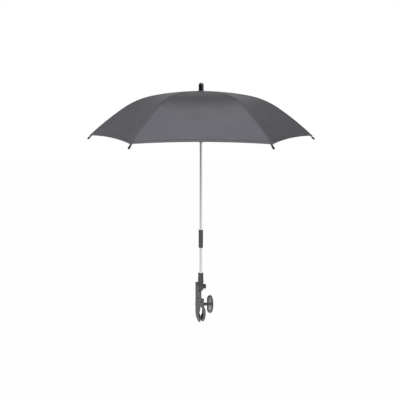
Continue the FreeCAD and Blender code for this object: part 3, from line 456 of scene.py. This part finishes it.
# %% [markdown]
# ## Plastics, rubber and metals
#
# The sleeve, runner and hub are moulded plastic, a charcoal that passes for black beside the white
# background. The clamp's two limbs are the same plastic, painted a shade paler for the light on their
# flat fronts. A flat colour would look painted, so a
# spark-eroded grain breaks up its gloss and blotches vary it. The finial and the rib tips are a
# blacker plastic with a polished skin. The claw's linings are rubber, coarser and duller.

# %% Moulded plastic and rubber
BLOTCH_SIZE, BLOTCH_DETAIL = 14 * MM, 3.0
GRAIN_DETAIL, GRAIN_CRISPNESS = 2.0, 0.6
BLOTCH_SHARE, GRAIN_SHARE = 0.7, 0.3
BLOTCH_ROUGH, GRAIN_ROUGH = 0.12, 0.1
NOISE_MEAN = 0.5
GRAIN_BUMP = 0.5
SATIN = {"rough": 0.5, "grain": 0.5 * MM, "depth": 0.02 * MM, "shine": 0.2}
POLISHED = {"rough": 0.13, "grain": 3 * MM, "depth": 0.01 * MM, "shine": 0.5}
RUBBERY = {"rough": 0.82, "grain": 0.8 * MM, "depth": 0.12 * MM, "shine": 0.2}


def plastic(name, colour, paler, rough, grain, depth, shine):
    """A plastic between two colours, and the wire of its colour for anything that goes on top."""
    finish = Finish(name, {"Specular IOR Level": shine})
    place = finish.place()
    blotch = finish.noise(place, BLOTCH_SIZE, BLOTCH_DETAIL)
    fine = finish.noise(place, grain, GRAIN_DETAIL, GRAIN_CRISPNESS)
    base = finish.mix(blotch * BLOTCH_SHARE + fine * GRAIN_SHARE, colour, paler)
    duller = (blotch - NOISE_MEAN) * BLOTCH_ROUGH
    finish.paint({"Base Color": base, "Roughness": rough + duller + (fine - NOISE_MEAN) * GRAIN_ROUGH})
    finish.emboss(fine, depth, GRAIN_BUMP)
    return finish, base


def make_plastic(name, colour, paler, skin):
    return plastic(name, colour, paler, **skin)[0].material


black_plastic = make_plastic("moulded_plastic", shade(70, 70, 71), shade(80, 80, 81), SATIN)
# painted light: the clamp's limbs get the same plastic painted paler, for the light on their flat
# fronts
clamp_plastic_lit_paler = make_plastic("clamp_plastic_lit_paler", shade(88, 88, 89), shade(100, 100, 101), SATIN)
gloss_black = make_plastic("polished_plastic", shade(12, 12, 13), shade(17, 17, 18), POLISHED)
rubber = make_plastic("pad_rubber", shade(20, 20, 20), shade(27, 27, 27), RUBBERY)
print("plastics:", black_plastic.name, clamp_plastic_lit_paler.name, gloss_black.name, rubber.name)

# %% [markdown]
# The knob is darker than the clamp in its hollows and much paler on its lobes. The paleness of the
# lobes is a painted highlight: light on them, laid into the colour, so that it stays in any light. The
# distance from the bolt's axis tells a lobe from a hollow, so it drives the mix of the two.

# %% Painted highlight on the knob's lobes
BOLT_Z = 33 * MM
LOBE_START, LOBE_SPAN = 25.5 * MM, 3.2 * MM
LOBE_HIGHLIGHT_SHADE = shade(148, 148, 149)


def make_knob_painted_highlight():
    finish, base = plastic("knob_painted_highlight", shade(70, 70, 71), shade(82, 82, 83), **SATIN)
    place = finish.place()
    up = finish.part(place, "Z") - BOLT_Z
    out = finish.part(place, "Y")
    radius = (up * up + out * out).math("SQRT")
    # painted highlight: 0 in the hollows, rising to 1 on the lobes
    lobe_highlight = ((radius - LOBE_START) / LOBE_SPAN).math("MINIMUM", 1.0).math("MAXIMUM", 0.0)
    # painted highlight: the lobes go from the plastic's colour to a pale grey
    finish.paint({"Base Color": finish.mix(lobe_highlight, base, LOBE_HIGHLIGHT_SHADE)})
    return finish.material


knob_painted_highlight = make_knob_painted_highlight()
print("lobes paler from", LOBE_START, "out")

# %% [markdown]
# The tubes are drawn aluminium, which has fine streaks along the pole. The ribs and bolts are plated
# steel, and the small pin and washer at the claw are blackened. A metal's colour is its mirror's tint,
# so what makes one look different from the next is mostly how blurred and how streaky its gloss is.

# %% Metals
HAZE_SIZE = 22 * MM
STREAK_DETAIL, STREAK_CRISPNESS = 3.0, 0.6
STREAK_SHARE, HAZE_SHARE = 0.5, 0.3
STREAK_ROUGH, HAZE_ROUGH = 0.12, 0.06
STREAK_RELIEF, STREAK_BUMP = 0.01 * MM, 0.4
EVEN, ALONG_POLE = (1, 1, 1), (1, 1, 0.02)


def make_metal(name, colour, darker, rough, streak, size):
    """Bright metal whose gloss varies in streaks: streak scales the three axes of its noise."""
    finish = Finish(name, {"Metallic": 1.0})
    stretched = finish.stretched(finish.place(), streak)
    lines = finish.noise(stretched, size, STREAK_DETAIL, STREAK_CRISPNESS)
    haze = finish.noise(finish.place(), HAZE_SIZE)
    finish.paint({
        "Base Color": finish.mix(lines * STREAK_SHARE + haze * HAZE_SHARE, colour, darker),
        "Roughness": rough + lines * STREAK_ROUGH + haze * HAZE_ROUGH,
    })
    finish.emboss(lines, STREAK_RELIEF, STREAK_BUMP)
    return finish.material


METALS = {
    "silver_tube": (
        "drawn_tube", shade(226, 227, 229), shade(204, 205, 208), 0.16, ALONG_POLE, 0.5 * MM),
    "rib_steel": ("plated_ribs", shade(160, 162, 166), shade(132, 134, 139), 0.28, EVEN, 1.2 * MM),
    "hardware": ("plated_bolts", shade(176, 176, 178), shade(150, 150, 152), 0.24, EVEN, 0.8 * MM),
    "dark_steel": ("blackened_bolts", shade(52, 52, 54), shade(40, 40, 42), 0.4, EVEN, 0.8 * MM),
}
metals = {slot: make_metal(*look) for slot, look in METALS.items()}
print("metals:", [metal.name for metal in metals.values()])

# %% [markdown]
# Each rigid piece arrives with a slot that names what it is made of. Every slot gets its finish, and
# the clamp's limbs and the knob then get the ones of their own: the same plastic with painted light,
# paler on the limbs and with a painted highlight on the knob's lobes.

# %% Finishes on the rigid pieces
FINISHES = {
    "cloth": cloth, "black_plastic": black_plastic, "gloss_black": gloss_black, "rubber": rubber,
    **metals,
}
OWN_FINISHES = {"clamp_knob": knob_painted_highlight, "clamp_arm": clamp_plastic_lit_paler, "clamp_jaw": clamp_plastic_lit_paler}
for piece in nodes.values():
    for slot in piece.material_slots:
        slot.material = FINISHES[slot.material.name.split(".")[0]]
for name, finish in OWN_FINISHES.items():
    nodes[name].material_slots[0].material = finish
print(len(FINISHES), "finishes on", len(nodes), "pieces")

# %% [markdown]
# ## Moulded edges
#
# CAD edges are knife sharp, while a moulding's are rounded by a few tenths of a millimetre and catch
# a thin line of light. A Bevel modifier that works only on edges sharper than 40 degrees does this
# without touching the CAD mesh.

# %% Rounded edges
SHARP_EDGE = math.radians(40)
ROUND_STEPS = 2
EDGE_ROUNDS_MM = {
    "clamp_arm": 0.7, "clamp_jaw": 0.7, "clamp_knob": 0.5, "pole_socket": 0.4, "lock_sleeve": 0.3,
    "arm_pad": 0.4, "jaw_pad": 0.4, "hinge_cap_nut": 0.3, "runner": 0.25, "crown_hub": 0.25,
    "top_washer": 0.3, "clamp_bolt": 0.2, "hinge_bolt": 0.2, "runner_catch": 0.25,
}
for name, width in EDGE_ROUNDS_MM.items():
    rounding = nodes[name].modifiers.new("edge_rounding", "BEVEL")
    rounding.width = width * MM
    rounding.segments = ROUND_STEPS
    rounding.limit_method = "ANGLE"
    rounding.angle_limit = SHARP_EDGE
    rounding.harden_normals = True
print(len(EDGE_ROUNDS_MM), "pieces with rounded edges")

# %% [markdown]
# ## The canopy
#
# Six gores are sewn together along the ribs and stretched over them. One mesh for the whole canopy
# would be simplest, but the ribs fold, so the canopy is cut along the middle of each gore instead:
# a piece of cloth belongs to one rib, and the pieces meet edge to edge when the parasol is open. The
# rib's line is three arcs, given by how steep it is at four distances from the pole. The cloth lies
# over it.

# %% Line of the ribs
BENDS = ((8.5 * MM, 0.4), (140 * MM, 10.5), (230 * MM, 33.5), (341 * MM, 42.5))
RIB_START_Z = 709.2 * MM
HINGE_REACH, HINGE_Z = 8.5 * MM, 707.0 * MM
CLOTH_LIFT = 1.9 * MM


def rib_arcs():
    """The rib's three arcs as (centre reach, centre height, radius, end reach)."""
    arcs = []
    height = RIB_START_Z
    for (start, low), (end, high) in zip(BENDS, BENDS[1:]):
        low, high = math.radians(low), math.radians(high)
        radius = (end - start) / (math.sin(high) - math.sin(low))
        centre = (start - radius * math.sin(low), height - radius * math.cos(low))
        arcs.append((*centre, radius, end))
        height = centre[1] + radius * math.cos(high)
    return arcs


ARCS = rib_arcs()


def cloth_line(reach):
    """Height and slope of the cloth's outer face over a rib, this far from the pole."""
    for centre_reach, centre_z, radius, end in ARCS:
        outer = radius + CLOTH_LIFT
        slope = math.asin((reach - centre_reach) / outer)
        if slope <= math.asin((end - centre_reach) / radius):
            break
    return centre_z + outer * math.cos(slope), slope


print("cloth at the crown", cloth_line(3 * MM)[0], "at a tip", cloth_line(340 * MM)[0])

# %% [markdown]
# Where do the pieces go when the ribs fold? Cloth between folded ribs hangs in pleats. Each piece
# rides on its rib; narrowing it across the rib as the runner comes down is not built here. Narrowed
# pieces would leave slits near the crown, so there each one has an underlap, a strip below its
# neighbour that comes out as the pleat closes. Its width follows from where two folded pieces meet.

# %% Folding of the cloth
HALF_GORE = math.radians(30)
FOLD_KEEP = 0.42
FOLD_TURN = math.radians(60)
LAP_SPARE = 0.6 * MM
LAP_MOST = 0.4


def underlap(reach):
    """How far a piece goes on past the middle of the gore, measured along the chord."""
    height, _ = cloth_line(reach)
    folded = HINGE_REACH + (reach - HINGE_REACH) * math.cos(FOLD_TURN)
    folded += (height - HINGE_Z) * math.sin(FOLD_TURN)
    inward = math.sin(HALF_GORE) * math.cos(FOLD_TURN) * math.tan(HALF_GORE)
    meet = folded * math.tan(HALF_GORE) / (FOLD_KEEP * math.cos(HALF_GORE) + inward)
    return min(meet + LAP_SPARE - reach / 2, LAP_MOST * reach)


print("underlap at 60 mm", round(underlap(60 * MM) / MM, 1), "mm")

# %% [markdown]
# Across a gore the cloth is nearly straight and dips a little between the ribs, because it is pulled
# tight along them. Its hem curves in between the corners. A simulation could find this shape, but a
# stretched canopy has so little freedom that a few formulas give the same, and give it every time.

# %% Shape of a gore
CORNER_REACH = 336.5 * MM
HEM_SCALLOP = 6.5 * MM
SETTLING_ROUNDS = 8
GORE_DIP = 3.0 * MM
DIP_OUTWARD, DIP_SPAN = 1.4, 0.93


def hem_reach(chord_share):
    """Reach of the hem where chord_share is -1 at a rib and 0 in the middle of the gore."""
    half = CORNER_REACH * math.sin(HALF_GORE)
    radius = (half ** 2 + HEM_SCALLOP ** 2) / (2 * HEM_SCALLOP)
    middle = CORNER_REACH * math.cos(HALF_GORE) - HEM_SCALLOP
    reach = CORNER_REACH
    for _ in range(SETTLING_ROUNDS):
        aside = reach * math.sin(HALF_GORE) * chord_share
        reach = (middle + radius - math.sqrt(radius ** 2 - aside ** 2)) / math.cos(HALF_GORE)
    return reach


def gore_point(reach, chord, lift):
    """A point of the gore right of the rib over +X: chord is the distance from the rib."""
    height, slope = cloth_line(reach)
    half = reach * math.sin(HALF_GORE)
    share = chord / half - 1
    outward = min(reach / CORNER_REACH, 1.0) ** DIP_OUTWARD
    dip = GORE_DIP * math.sin(math.pi * outward * DIP_SPAN) * max(1 - share ** 2, 0)
    lean = math.atan2(math.tan(slope), math.cos(HALF_GORE))
    along = reach * math.cos(HALF_GORE) + (lift - dip) * math.sin(lean)
    aside = half * share
    x = along * math.cos(HALF_GORE) - aside * math.sin(HALF_GORE)
    y = along * math.sin(HALF_GORE) + aside * math.cos(HALF_GORE)
    return Vector((x, y, height + (lift - dip) * math.cos(lean)))


print("hem at a corner", round(hem_reach(-1), 4), "and in the middle of a gore", round(hem_reach(0), 4))

# %% [markdown]
# The mesh of a gore is a grid of rows from the crown to the hem and columns from the rib to the
# middle. Seams and hems are steps of a few tenths of a millimetre, so the grid is close there and wide
# elsewhere.

# %% Rows and columns of the cloth
CROWN_HOLE = 3 * MM
SEAM_COLUMNS = ((0.0, 0.0), (1.3, 0.08), (2.3, 0.16), (2.7, 0.21), (3.1, 0.26), (6.0, 0.34))
PLAIN_COLUMNS = 10
HEM_ROWS = (9.0, 8.3, 8.0, 6.0, 3.0, 0.8, 0.0)
PLAIN_ROWS = 56
ROW_SPREAD = 1.15


def chords(reach):
    """Distances from the rib of the mesh's columns, out to the middle of the gore."""
    half = reach * math.sin(HALF_GORE)
    spots = [min(width * MM, share * half) for width, share in SEAM_COLUMNS]
    last = spots[-1]
    steps = range(1, PLAIN_COLUMNS + 1)
    return spots + [last + (half - last) * step / PLAIN_COLUMNS for step in steps]


def row_reaches(share):
    """Reaches of the mesh's rows from the crown to the hem, at one place across the gore, with
    each row's distance from the hem along the cloth."""
    hem = hem_reach(share)
    slope = math.cos(cloth_line(hem)[1])
    plain_length = hem - HEM_ROWS[0] * MM * slope - CROWN_HOLE
    spread = [(row / PLAIN_ROWS) ** ROW_SPREAD for row in range(PLAIN_ROWS)]
    reaches = [CROWN_HOLE + plain_length * part for part in spread]
    reaches += [hem - away * MM * slope for away in HEM_ROWS]
    lengths = [0.0]
    for nearer, further in zip(reaches, reaches[1:]):
        middle_slope = cloth_line((nearer + further) / 2)[1]
        lengths.append(lengths[-1] + (further - nearer) / math.cos(middle_slope))
    return [(reach, lengths[-1] - length) for reach, length in zip(reaches, lengths)]


print(len(HEM_ROWS) + PLAIN_ROWS, "rows,", len(SEAM_COLUMNS) + PLAIN_COLUMNS, "columns in half a gore")

# %% [markdown]
# Half a piece is worked out once, from the rib to the middle of the gore. The other half is its mirror
# image, and the six pieces are turned copies.

# %% Points of half a piece
SEAM_RAISE, RAISED_COLUMNS = 0.35 * MM, 3
HEM_RAISE, HEM_RAISED = 0.25 * MM, HEM_WIDTH + 0.1 * MM
LAP_DROP, LAP_STEP, LAP_LEAST = 0.8 * MM, 0.7 * MM, 1.2 * MM
SAMPLE_REACH = 100 * MM


def lap_spots(reach, away):
    """The two points of a row's underlap, or None where it would be too narrow."""
    half, over = reach * math.sin(HALF_GORE), underlap(reach)
    if over <= LAP_LEAST:
        return None
    spots = (half + LAP_STEP, half + over)
    return [(gore_point(reach, chord, -LAP_DROP), (chord, away)) for chord in spots]


def half_piece():
    """Rows of (point, map place) from the rib to the middle of the gore, and each row's underlap."""
    sample_half = SAMPLE_REACH * math.sin(HALF_GORE)
    columns = [row_reaches(chord / sample_half - 1) for chord in chords(SAMPLE_REACH)]
    rows, laps = [], []
    for row in range(len(columns[0])):
        line = []
        for column, strip in enumerate(columns):
            reach, away = strip[row]
            chord = chords(reach)[column]
            lift = SEAM_RAISE if column < RAISED_COLUMNS else 0.0
            lift += HEM_RAISE if away < HEM_RAISED else 0.0
            line.append((gore_point(reach, chord, lift), (chord, away)))
        rows.append(line)
        laps.append(lap_spots(*columns[-1][row]))
    return rows, laps


ROWS, LAPS = half_piece()
lapped = sum(lap is not None for lap in LAPS)
print(len(ROWS), "rows of", len(ROWS[0]), "points,", lapped, "with underlaps")

# %% [markdown]
# The points become a mesh through `bmesh`, Blender's tool for building one face by face. Each corner of
# a face keeps its place on the cloth map. The single layer gets its thickness from a Solidify modifier,
# and the edge where an underlap starts is marked sharp, so that the shading breaks there as at a fold.

# %% Mesh of a piece
CLOTH_THICK = 0.45 * MM
INWARD = -1


def lay_points(shell, turn):
    """Adds the points. Gives their rows, each with its laps left and right, and their map places."""
    places = {}

    def corner(spot, side):
        point, (chord, away) = spot
        vert = shell.verts.new(turn @ Vector((point.x, point.y * side, point.z)))
        places[vert] = (chord * side, away)
        return vert

    grid = []
    for line, lap in zip(ROWS, LAPS):
        left = [corner(spot, -1) for spot in reversed(line[1:])]
        right = [corner(spot, 1) for spot in line]
        below = [[corner(spot, side) for spot in lap] if lap else None for side in (-1, 1)]
        grid.append((left + right, below))
    return grid, places


def lay_faces(shell, grid):
    """Joins neighbouring rows by faces, and their laps where both have one."""
    pairs = list(zip(grid, grid[1:]))
    for (inner, inner_laps), (outer, outer_laps) in pairs:
        strips = [(inner, outer)]
        for end, inner_lap, outer_lap in zip((0, -1), inner_laps, outer_laps):
            if inner_lap and outer_lap:
                strip = ([inner[end], *inner_lap], [outer[end], *outer_lap])
                strips.append(tuple(part[::-1] for part in strip) if end == 0 else strip)
        for near, far in strips:
            for corners in zip(near, far, far[1:], near[1:]):
                shell.faces.new(corners).smooth = True
    for (inner, _), (outer, _) in pairs:
        for end in (0, -1):
            shell.edges.get((outer[end], inner[end])).smooth = False


def weave_piece(name, azimuth):
    """The cloth of one rib, with its map and its thickness."""
    shell = bmesh.new()
    layer = shell.loops.layers.uv.new("cloth_map")
    grid, places = lay_points(shell, Matrix.Rotation(azimuth, 4, "Z"))
    lay_faces(shell, grid)
    for face in shell.faces:
        for loop in face.loops:
            loop[layer].uv = places[loop.vert]
    mesh = bpy.data.meshes.new(name)
    shell.to_mesh(mesh)
    shell.free()
    mesh.materials.append(cloth)
    made = add_object(name, mesh)
    thickness = made.modifiers.new("cloth_thickness", "SOLIDIFY")
    thickness.thickness = CLOTH_THICK
    thickness.offset = INWARD
    return made


print("cloth", CLOTH_THICK, "thick")

# %% [markdown]
# Each of the six pieces rides on its rib and takes the place of the plain panel that stands for it
# in the CAD model.

# %% Six pieces of cloth
RIB_ANGLES = {number: math.radians(60 * (number - 1)) for number in range(1, 7)}
canopy = {}
for number, azimuth in RIB_ANGLES.items():
    piece = weave_piece(f"canopy_cloth_{number}", azimuth)
    canopy[number] = piece
    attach(piece, f"rib_{number}")
    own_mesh(piece)
    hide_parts(f"canopy_panel_{number}")
woven = sum(face.area for face in canopy[1].data.polygons)
points = len(canopy[1].data.vertices)
print(len(canopy), "pieces of cloth,", points, "points and", round(woven, 4), "m2 each")

# %% [markdown]
# A sheet of cloth has a size before it is sewn: here the length along the cloth from the crown to the
# hem, at a rib and in the middle of the gore. The cloth is held stretched, so the piece is not much
# larger or smaller than that.

# %% Flat size of the cloth
lengths = [round(row_reaches(share)[0][1], 4) for share in (-1, 0)]

# %% [markdown]
# ## Thread
#
# The canopy's corners are bound to the necks of the rib tips, and tacked to the ribs on the way.
# Each binding is a few closed turns of thread: small curves with a round section. A turn is given by
# how far its middle lies below the rib's top line, and by half its width and half its height.

# %% Turns of thread
THREAD_RADIUS = 0.22 * MM
THREAD_ROUNDNESS = 2
TURN_POINTS = 16
TURN_SMOOTHNESS = 4
SPUN = {"rough": 0.7, "grain": 0.4 * MM, "depth": 0.05 * MM, "shine": 0.5}
thread_finish = make_plastic("sewing_thread", shade(38, 38, 40), shade(50, 50, 52), SPUN)


def turn_of_thread(curve, centre, across, over, wide, tall):
    """One closed turn: a flat ring about centre in the plane of across and over."""
    spline = curve.splines.new("NURBS")
    spline.points.add(TURN_POINTS - 1)
    for step, point in enumerate(spline.points):
        angle = 2 * math.pi * step / TURN_POINTS
        spot = centre + across * (wide * math.cos(angle)) + over * (tall * math.sin(angle))
        point.co = (*spot, 1.0)
    spline.use_cyclic_u = True
    spline.order_u = TURN_SMOOTHNESS


def rib_frame(reach, drop):
    """A point drop below the rib's top line, and the directions across and over the rib."""
    height, slope = cloth_line(reach)
    over = Vector((math.sin(slope), 0, math.cos(slope)))
    return Vector((reach, 0, height)) - over * (drop + CLOTH_LIFT), Vector((0, 1, 0)), over


print("thread", 2 * THREAD_RADIUS, "thick")

# %% Bindings
ON_NECK, ON_RIB = (1.7, 2.9, 2.9), (1.0, 1.75, 2.5)
BINDINGS_MM = [(reach, *ON_NECK) for reach in (337.3, 337.8)]
BINDINGS_MM += [(reach, *ON_RIB) for reach in (96, 97, 250, 251)]


def bind_corner(number):
    curve = bpy.data.curves.new(f"thread_{number}", "CURVE")
    curve.dimensions = "3D"
    curve.bevel_depth = THREAD_RADIUS
    curve.bevel_resolution = THREAD_ROUNDNESS
    turn = Matrix.Rotation(RIB_ANGLES[number], 4, "Z")
    for reach, drop, wide, tall in BINDINGS_MM:
        centre, across, over = rib_frame(reach * MM, drop * MM)
        turn_of_thread(curve, turn @ centre, turn @ across, turn @ over, wide * MM, tall * MM)
    curve.materials.append(thread_finish)
    made = add_object(f"rib_thread_{number}", curve)
    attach(made, f"rib_{number}")
    return made


threads = [bind_corner(number) for number in RIB_ANGLES]
print(len(threads), "sets of binding turns")
